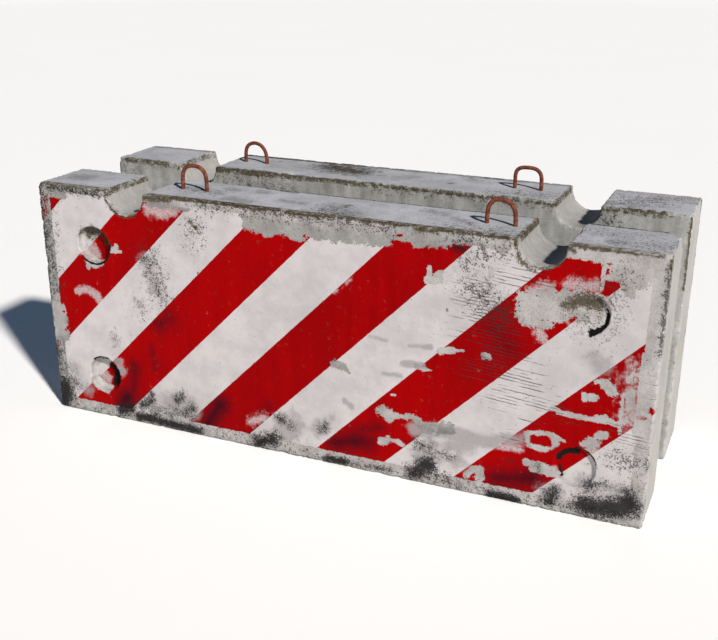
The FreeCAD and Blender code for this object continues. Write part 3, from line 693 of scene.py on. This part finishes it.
# dark grey for smudges, and for painted shade on bare parts of the recesses' sunlit walls
SMUDGE_AND_SHADE = (0.10, 0.10, 0.10)
BRIGHT_GRAIN = (0.55, 0.54, 0.53)
WHITE_PAINT = (0.50, 0.475, 0.48), (0.62, 0.58, 0.59)
RED_PAINT = (0.28, 0.0004, 0.0016), (0.355, 0.0004, 0.001)
SOOTY_RED = (0.035, 0.003, 0.008)
FADED_RED = (0.40, 0.14, 0.15), (0.52, 0.46, 0.46)
# grey for rubbed dirt, and for the painted shade on the recesses' sunlit walls
RUBBED_DIRT_AND_SHADE = (0.34, 0.325, 0.33)
BOARD_LINE = (0.06, 0.03, 0.03)
SPECK = (0.03, 0.028, 0.026)
SOOT = (0.014, 0.013, 0.014)
MOSS = (0.012, 0.009, 0.006), (0.125, 0.092, 0.042)
# black for the painted shadow crescents in the recesses and for thin outlines
RIM_SHADOW_AND_OUTLINE = (0.012, 0.011, 0.010)
SLAB_TONE = (0.83, 0.83, 0.83)
LOOP_RUST = (0.050, 0.016, 0.011), (0.27, 0.072, 0.036)
CAGE_SCALE = (0.05, 0.035, 0.03), (0.20, 0.09, 0.05)
RUST_PIT = (0.03, 0.012, 0.008)
GREY_PLASTIC = (0.14, 0.15, 0.16), (0.19, 0.20, 0.21)
PALE_FLOOR = (0.93, 0.93, 0.93), (0.95, 0.95, 0.95)


class Graph:
    """A material's nodes, with a short call for each kind used here."""

    def __init__(self, name, shift=(0, 0, 0)):
        self.material = bpy.data.materials.new(name)
        self.material.use_nodes = True
        self.tree = self.material.node_tree
        self.tree.nodes.clear()
        self.place = self.add("ShaderNodeTexCoord").outputs["Object"]
        self.shift = shift

    def add(self, kind, inputs=(), **settings):
        node = self.tree.nodes.new(kind)
        for key, value in settings.items():
            setattr(node, key, value)
        for socket, value in dict(inputs).items():
            if isinstance(value, bpy.types.NodeSocket):
                self.tree.links.new(value, node.inputs[socket])
            else:
                node.inputs[socket].default_value = value
        return node

    def math(self, operation, *values):
        return self.add("ShaderNodeMath", enumerate(values), operation=operation).outputs[0]

    def sum(self, *terms):
        """Adds terms, each a socket or a (socket, factor) pair."""
        total = 0.0
        for term in terms:
            socket, factor = term if isinstance(term, tuple) else (term, 1.0)
            total = self.math("MULTIPLY_ADD", socket, factor, total)
        return total

    def ramp(self, value, low, high, bottom=0.0, top=1.0):
        """Takes value smoothly from low..high to bottom..top."""
        inputs = {"Value": value, "From Min": low, "From Max": high,
                  "To Min": bottom, "To Max": top}
        node = self.add("ShaderNodeMapRange", inputs, interpolation_type="SMOOTHSTEP")
        return node.outputs["Result"]

    def attribute(self, name):
        return self.add("ShaderNodeAttribute", attribute_name=name).outputs["Fac"]

    def noise(self, scale, detail=4.0, stretch=(1, 1, 1), roughness=0.5, lean=0.0):
        """Random values around 0.5, scale bumps to the metre, optionally stretched."""
        place = self.place
        if lean:
            inputs = {"Vector": place, "Angle": lean}
            place = self.add("ShaderNodeVectorRotate", inputs, rotation_type="Y_AXIS").outputs[0]
        sizes = [scale * amount for amount in stretch]
        inputs = {"Vector": place, "Scale": sizes, "Location": self.shift}
        place = self.add("ShaderNodeMapping", inputs).outputs[0]
        inputs = {"Vector": place, "Scale": 1.0, "Detail": detail, "Roughness": roughness}
        return self.add("ShaderNodeTexNoise", inputs).outputs["Fac"]

    def mix(self, factor, first, second, blend="MIX"):
        node = self.add("ShaderNodeMix", data_type="RGBA", blend_type=blend)
        for index, value in ((0, factor), (6, first), (7, second)):
            if isinstance(value, bpy.types.NodeSocket):
                self.tree.links.new(value, node.inputs[index])
            else:
                node.inputs[index].default_value = value if index == 0 else (*value, 1.0)
        return node.outputs[2]

    def finish(self, color, roughness, height, depth, metallic=0.0, specular=0.3):
        """Joins colour, roughness and a height, in units of depth metres, to one shader."""
        inputs = {"Height": height, "Distance": depth, "Strength": 1.0}
        bump = self.add("ShaderNodeBump", inputs).outputs["Normal"]
        inputs = {"Base Color": color, "Roughness": roughness, "Normal": bump,
                  "Metallic": metallic, "Specular IOR Level": specular}
        shader = self.add("ShaderNodeBsdfPrincipled", inputs)
        self.add("ShaderNodeOutputMaterial", {"Surface": shader.outputs[0]})
        return self.material


class SlabGraph(Graph):
    """A slab material's nodes, with the noises and stored values that its layers share."""

    def __init__(self, name, shift):
        super().__init__(name, shift)
        self.cloud = self.noise(2.2, 3)
        self.patch = self.noise(11, 5, roughness=0.6)
        self.ragged = self.noise(45, 6, roughness=0.65)
        self.fine = self.noise(150, 4, roughness=0.7)
        self.grain = self.noise(420, 2, roughness=0.6)
        self.streak = self.noise(1, 4, (30, 30, 3.0), roughness=0.6)
        self.scratch = self.noise(1, 4, (7, 7, 60), roughness=0.7, lean=-BOARD_SLOPE)
        self.wear = {key: self.attribute(key) for key in WEAR_NAMES}
        self.border, self.edge = self.attribute("border"), self.attribute("edge")
        self.low, self.top = self.attribute("low"), self.attribute("top")
        self.inner, self.smooth = self.attribute("inner"), self.attribute("smooth")
        self.end, self.painted_saddle_shade = self.attribute("end"), self.attribute("painted_saddle_shade")


def stripes(g):
    """1 on the red bands and 0 between them. Their edges wobble a little."""
    axes = g.add("ShaderNodeSeparateXYZ", {"Vector": g.place})
    across = g.math("SUBTRACT", axes.outputs["X"], axes.outputs["Z"])
    across = g.sum(across, (g.ragged, STRIPE_WOBBLE))
    red = 0.0
    for left, right in BANDS:
        middle, half = (left + right + STRIPE_WOBBLE) / 2, (right - left) / 2
        away = g.math("ABSOLUTE", g.math("SUBTRACT", across, middle))
        band = g.ramp(away, half - STRIPE_BLUR, half + STRIPE_BLUR, 1.0, 0.0)
        red = g.math("MAXIMUM", red, band)
    return red


def board_marks(g):
    """1 on thin sloping lines, evenly spaced like the boards of a form, where they show."""
    axes = g.add("ShaderNodeSeparateXYZ", {"Vector": g.place})
    height = g.sum((axes.outputs["X"], BOARD_SLOPE), axes.outputs["Z"], (g.ragged, BOARD_WOBBLE))
    part = g.math("FRACT", g.math("DIVIDE", height, BOARD_SPACING))
    lines = g.ramp(g.math("ABSOLUTE", g.math("SUBTRACT", part, 0.5)), 0.10, 0.20, 1.0, 0.0)
    return g.math("MULTIPLY", lines, g.ramp(g.sum((g.scratch, 2.8), g.wear["marks"]), 1.96, 2.32))


def bare_concrete(g):
    """Concrete toned by face, chalky in patches, with pores, smudges and bright grains. Shade is
    painted dark blue-grey on the saddles' walls that face away from the key light, and grey among the
    smudges on the recesses' sunlit walls.
    """
    tone = g.sum((g.cloud, 0.45), (g.patch, 0.55), (g.fine, 0.25), (g.grain, 0.15))
    bare = g.mix(g.ramp(tone, 0.45, 0.95), *BARE_CONCRETE)
    bare = g.mix(g.top, bare, g.mix(g.ramp(tone, 0.50, 0.90), *TOP_CONCRETE))
    tone = g.sum((g.streak, 0.5), (g.cloud, 0.15), (g.patch, 0.55), (g.fine, 0.2))
    bare = g.mix(g.inner, bare, g.mix(g.ramp(tone, 0.50, 0.90), *INNER_CONCRETE))
    tone = g.sum((g.cloud, 0.5), (g.patch, 0.4), (g.streak, 0.1))
    pale = g.mix(g.ramp(tone, 0.35, 0.65), *SMOOTH_CONCRETE)
    pale = g.mix(g.math("MULTIPLY", g.end, 0.24), pale, END_CONCRETE)
    # painted shade on the saddles' walls that face away from the key light
    pale = g.mix(g.math("MULTIPLY", g.painted_saddle_shade, 0.5), pale, SADDLE_PAINTED_SHADE)
    bare = g.mix(g.smooth, bare, pale)
    chalk = g.mix(g.ramp(g.sum((g.patch, 0.5), (g.fine, 0.5)), 0.38, 0.60), *CHALKY_CONCRETE)
    bare = g.mix(g.ramp(g.sum(g.wear["chalk"], (g.patch, 0.8)), 0.55, 0.95), bare, chalk)
    pores = g.sum((g.smooth, -0.09), (g.grain, 0.45), (g.fine, 0.55))
    bare = g.mix(g.ramp(pores, 0.53, 0.62, 0.0, 0.55), bare, PORE)
    # smudges, with painted shade on the recesses' sunlit walls where they are bare
    smudge_and_shade = g.sum(g.wear["smear_and_shade"], (g.patch, 1.3), (g.ragged, 0.9), (g.fine, 0.5), (g.top, 0.06))
    bare = g.mix(g.ramp(smudge_and_shade, 1.56, 2.15, 0.0, 0.48), bare, SMUDGE_AND_SHADE)
    bright = g.ramp(g.sum((g.grain, 0.5), (g.ragged, 0.5)), 0.40, 0.46, 0.4, 0.0)
    return g.mix(bright, bare, BRIGHT_GRAIN)


def paint(g):
    """White paint with red bands, sooty, faded and rubbed with dirt in places, and greyed with painted
    shade on the recesses' sunlit walls.
    """
    white = g.mix(g.ramp(g.sum((g.patch, 0.6), (g.cloud, 0.4)), 0.35, 0.62), *WHITE_PAINT)
    red = g.mix(g.ramp(g.sum((g.cloud, 0.6), (g.streak, 0.4)), 0.38, 0.62), *RED_PAINT)
    red = g.mix(g.ramp(g.sum(g.wear["dusk"], (g.patch, 0.6)), 0.40, 1.45), red, SOOTY_RED)
    faded = g.mix(g.ramp(g.sum((g.fine, 0.4), (g.grain, 0.6)), 0.42, 0.54), *FADED_RED)
    rubbed = g.sum(g.wear["fade"], (g.ragged, 1.3), (g.streak, 0.5))
    red = g.mix(g.ramp(rubbed, 1.10, 1.55), red, faded)
    # rubbed dirt, and painted shade on the recesses' sunlit walls
    smeared_and_shaded = g.sum(g.wear["smear_and_shade"], (g.patch, 0.9), (g.ragged, 0.3), (g.grain, 0.2))
    smeared_and_shaded = g.ramp(smeared_and_shaded, 0.98, 1.28, 0.0, 0.85)
    return g.mix(smeared_and_shaded, g.mix(stripes(g), white, red), RUBBED_DIRT_AND_SHADE)


def paint_cover(g):
    """1 where the paint is whole: inside its masked border and neither peeled nor flecked off,
    or strayed beyond the border."""
    inside = g.ramp(g.sum(g.border, (g.ragged, 0.9), (g.fine, 0.3)), 0.55, 0.65)
    strayed = g.ramp(g.sum(g.wear["coat"], (g.fine, 1.4)), 1.16, 1.24)
    peeling = g.sum(g.wear["peel"], (g.ragged, 1.2), (g.fine, 0.8))
    kept = g.ramp(peeling, 1.46, 1.51, 1.0, 0.0)
    flecks = g.sum((g.ragged, 0.8), (g.fine, 0.6), (g.edge, 0.12), (g.wear["speckle"], 0.04))
    kept = g.math("MULTIPLY", kept, g.ramp(flecks, 0.93, 0.96, 1.0, 0.0))
    return g.math("MAXIMUM", g.math("MULTIPLY", inside, kept), strayed)


def specks(g):
    """1 on small dark specks."""
    dots = g.sum((g.fine, 1.0), (g.grain, 0.35), (g.ragged, 0.5), (g.wear["speckle"], 0.28),
                 (g.edge, 0.09), (g.top, 0.05))
    return g.ramp(dots, 1.105, 1.195)


def soot(g):
    """How black the grime is."""
    black = g.sum((g.wear["grime"], 1.75), (g.low, 0.16), (g.patch, 1.3), (g.ragged, 1.1),
                  (g.fine, 2.3), (g.grain, 2.4))
    return g.ramp(black, 4.15, 4.95, 0.0, 0.96)


def moss(g):
    """1 where moss and lichen grow."""
    growth = g.sum(g.wear["moss"], (g.ragged, 1.7), (g.fine, 2.0), (g.grain, 1.6), (g.patch, 0.8),
                   (g.edge, 0.16))
    return g.ramp(growth, 3.66, 3.82)


def painted_concrete(name, shift):
    """Cast concrete, weathered and stained, under red and white paint that wears off."""
    g = SlabGraph(name, shift)
    painted, drawn, dots, growth = paint_cover(g), board_marks(g), specks(g), moss(g)
    color = g.mix(painted, bare_concrete(g), paint(g))
    color = g.mix(g.math("MULTIPLY", drawn, 0.68), color, BOARD_LINE)
    color = g.mix(g.math("MULTIPLY", dots, 0.85), color, SPECK)
    color = g.mix(soot(g), color, SOOT)
    moss_color = g.mix(g.ramp(g.sum((g.fine, 0.6), (g.grain, 0.4)), 0.44, 0.58), *MOSS)
    color = g.mix(g.math("MULTIPLY", growth, 0.9), color, moss_color)
    # painted shadow crescents along the recess rims, and thin black outlines
    rim_shadow_and_outline = g.ramp(g.sum(g.wear["line"], (g.ragged, 0.9), (g.fine, 0.9)), 1.36, 1.54)
    color = g.mix(rim_shadow_and_outline, color, RIM_SHADOW_AND_OUTLINE)
    color = g.mix(1.0, color, SLAB_TONE, "MULTIPLY")
    height = g.sum((painted, 0.5), (g.ragged, 0.8), (g.fine, 0.5), (g.grain, 0.3), (drawn, -1.2),
                   (dots, -0.6), (growth, 0.6))
    roughness = g.ramp(painted, 0.0, 1.0, 0.92, 0.62)
    return g.finish(color, roughness, height, 0.0012, specular=0.02)


def rusted_steel(name, colors):
    """Round bar with a thin skin of rust."""
    g = Graph(name)
    blotch, scale = g.noise(60, 5, roughness=0.65), g.noise(500, 4, roughness=0.7)
    tone = g.ramp(g.sum((blotch, 0.7), (scale, 0.3)), 0.38, 0.64)
    pits = g.ramp(g.noise(900, 2), 0.62, 0.72)
    color = g.mix(g.math("MULTIPLY", pits, 0.7), g.mix(tone, *colors), RUST_PIT)
    height = g.sum((scale, 1.0), (pits, -0.8), (blotch, 0.6))
    return g.finish(color, g.ramp(tone, 0, 1, 0.65, 0.9), height, 0.0004, metallic=0.15)


def grey_plastic(name):
    """Moulded plastic with a faint flow pattern."""
    g = Graph(name)
    flow, grain = g.noise(40, 3), g.noise(900, 2)
    color = g.mix(g.ramp(flow, 0.4, 0.6), *GREY_PLASTIC)
    return g.finish(color, g.ramp(flow, 0.4, 0.6, 0.45, 0.6), grain, 0.0002)


def pale_floor(name):
    """A matt, almost even floor."""
    g = Graph(name)
    return g.finish(g.mix(g.noise(0.6, 2), *PALE_FLOOR), 0.8, 0.0, 0.001)


# ---------------------------------------------------------------- pieces

# each slab's place in the row, and what shifts its noise away from the other's
SLABS = {
    "front": (Matrix.Translation((0, -ROW_OFFSET, 0)), 0.0),
    "rear": (Matrix.Translation((0, ROW_OFFSET, 0)) @ Matrix.Rotation(math.pi, 4, "Z"), 7.3),
}


def set_material(mesh, material):
    mesh.materials.clear()
    mesh.materials.append(material)


def add_slab(slab, to_row, seed):
    """A slab's concrete and its two paint films as one weathered piece."""
    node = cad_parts[slab + "_concrete_slab"]
    to_slab = to_row.inverted()
    mesh = even_surface(node, to_slab)
    refine(mesh)
    lay_on(mesh, node, to_slab)
    points = coordinates(mesh)
    in_row = points @ np.array(to_row.to_3x3()).T + np.array(to_row.translation)
    mark_wear(mesh, slab, points, in_row)
    mark_faces(mesh, points, in_row)
    weather(mesh, slab, seed)
    mesh.shade_smooth()
    mesh.set_sharp_from_angle(angle=SHARP_ANGLE)
    set_material(mesh, painted_concrete(slab + "_painted_concrete", (seed, seed, seed)))
    piece = add_object(slab + "_weathered_slab", mesh)
    piece.matrix_world = to_row
    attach(piece, slab + "_slab")
    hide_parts(slab + "_concrete_slab", slab + "_white_paint", slab + "_red_paint")


BAR_RADIUS = 0.008
BAR_ROUNDNESS = 5
LOOP_WIDTH = 0.106
LOOP_STEPS = 12
LEG_IN_CONCRETE = 0.04
RUST_SIZE = 0.012
RUST_DEPTH = 0.0004
# each hand-bent loop as (across, up), in half widths and full rises of the CAD loop
LOOP_BENDS = {
    "front_left": (
        (-1, 0.35), (-0.97, 0.72), (-0.64, 0.98), (0, 1.04), (0.62, 0.99), (1.03, 0.72), (1.05, 0.35),
    ),
    "front_right": (
        (-0.97, 0.35), (-0.9, 0.74), (-0.58, 1), (-0.06, 1.04), (0.5, 0.98), (0.9, 0.7), (0.98, 0.35),
    ),
    "rear_left": (
        (-1, 0.3), (-0.98, 0.66), (-0.7, 0.94), (-0.14, 1.04), (0.42, 0.97), (0.84, 0.68), (0.98, 0.3),
    ),
    "rear_right": (
        (-1, 0.4), (-1.01, 0.8), (-0.68, 1), (-0.08, 1.03), (0.58, 1.01), (0.98, 0.76), (1.01, 0.4),
    ),
}


def loop_curve(name, points):
    """A smooth round bar that follows points."""
    line = bpy.data.curves.new(name, "CURVE")
    line.dimensions = "3D"
    line.bevel_depth = BAR_RADIUS
    line.bevel_resolution = BAR_ROUNDNESS
    line.use_fill_caps = True
    spline = line.splines.new("NURBS")
    spline.points.add(len(points) - 1)
    for point, place in zip(spline.points, points):
        point.co = (*place, 1)
    spline.order_u = 4
    spline.use_endpoint_u = True
    spline.resolution_u = LOOP_STEPS
    return line


def add_loop(slab, side, material):
    """A lifting loop bent by hand from round bar, standing where the CAD loop stands."""
    node = f"{slab}_lifting_loop_{side}"
    low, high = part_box(node)
    middle, y = (low.x + high.x) / 2, (low.y + high.y) / 2
    rise = high.z - BAR_RADIUS - HEIGHT
    bends = LOOP_BENDS[f"{slab}_{side}"]
    start, finish, foot = bends[0][0], bends[-1][0], -LEG_IN_CONCRETE / rise
    route = [(start, foot), (start, 0), *bends, (finish, 0), (finish, foot)]
    points = [(middle + LOOP_WIDTH / 2 * across, y, HEIGHT + rise * up) for across, up in route]
    mesh = bake(add_object("draft", loop_curve(node, points)))
    sink(mesh, RUST_DEPTH * np.clip(fractal(coordinates(mesh), RUST_SIZE), 0, 1))
    mesh.shade_smooth()
    set_material(mesh, material)
    piece = add_object(f"{slab}_{side}_bent_loop", mesh)
    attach(piece, slab + "_slab")
    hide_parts(node)


CAGE = ("full_height_links", "saddle_links", "bottom_bars", "under_saddle_bars", "top_bars",
        "striped_side_bars", "plain_side_bars", "end_hairpins")

loop_rust = rusted_steel("loop_rust", LOOP_RUST)
cage_rust = rusted_steel("cage_mill_scale", CAGE_SCALE)
spacer_plastic = grey_plastic("spacer_grey_plastic")
for slab, (to_row, seed) in SLABS.items():
    add_slab(slab, to_row, seed)
    for side in ("left", "right"):
        add_loop(slab, side, loop_rust)
    for part in CAGE:
        set_material(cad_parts[f"{slab}_{part}"].data, cage_rust)
    set_material(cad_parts[f"{slab}_cover_spacers"].data, spacer_plastic)

# ---------------------------------------------------------------- floor and light

KEY_DIRECTION = Vector((0.656, -0.469, 0.590)).normalized()
KEY_WIDTH = math.radians(3.5)
KEY_STRENGTH = 5.2
KEY_COLOR = (1.0, 0.958, 0.897)
SKY_COLOR = (0.30, 0.56, 1.0, 1.0)
SKY_STRENGTH = 0.11
# the floor is flat to its first radius, then rises a little more steeply at each further one, so
# that low views see no horizon
FLOOR_RADII = (28.0, 36.0, 50.0, 70.0, 100.0, 135.0)
FLOOR_SLOPES = (0.03, 0.07, 0.12, 0.18, 0.24)
FLOOR_SIDES = 64


def add_floor():
    angles = [math.tau * i / FLOOR_SIDES for i in range(FLOOR_SIDES)]
    points, level = [], 0.0
    for radius, before, slope in zip(FLOOR_RADII, (0.0, *FLOOR_RADII), (0.0, *FLOOR_SLOPES)):
        level += slope * (radius - before)
        points += [(radius * math.cos(a), radius * math.sin(a), level) for a in angles]
    faces = [tuple(range(FLOOR_SIDES))]
    for ring in range(len(FLOOR_SLOPES)):
        near, far = ring * FLOOR_SIDES, (ring + 1) * FLOOR_SIDES
        for i in range(FLOOR_SIDES):
            after = (i + 1) % FLOOR_SIDES
            faces.append((near + i, far + i, far + after, near + after))
    mesh = bpy.data.meshes.new("floor")
    mesh.from_pydata(points, [], faces)
    set_material(mesh, pale_floor("pale_floor"))
    floor = add_object("floor", mesh)


def add_key_light():
    light = bpy.data.lights.new("key", "SUN")
    light.angle = KEY_WIDTH
    light.energy = KEY_STRENGTH
    light.color = KEY_COLOR
    key = add_object("key", light)
    key.rotation_euler = KEY_DIRECTION.to_track_quat("Z", "Y").to_euler()


def add_sky():
    world = bpy.data.worlds.new("sky")
    world.use_nodes = True
    background = world.node_tree.nodes["Background"]
    background.inputs["Color"].default_value = SKY_COLOR
    background.inputs["Strength"].default_value = SKY_STRENGTH
    bpy.context.scene.world = world
    bpy.context.scene.view_settings.view_transform = "Standard"


add_floor()
add_key_light()
add_sky()
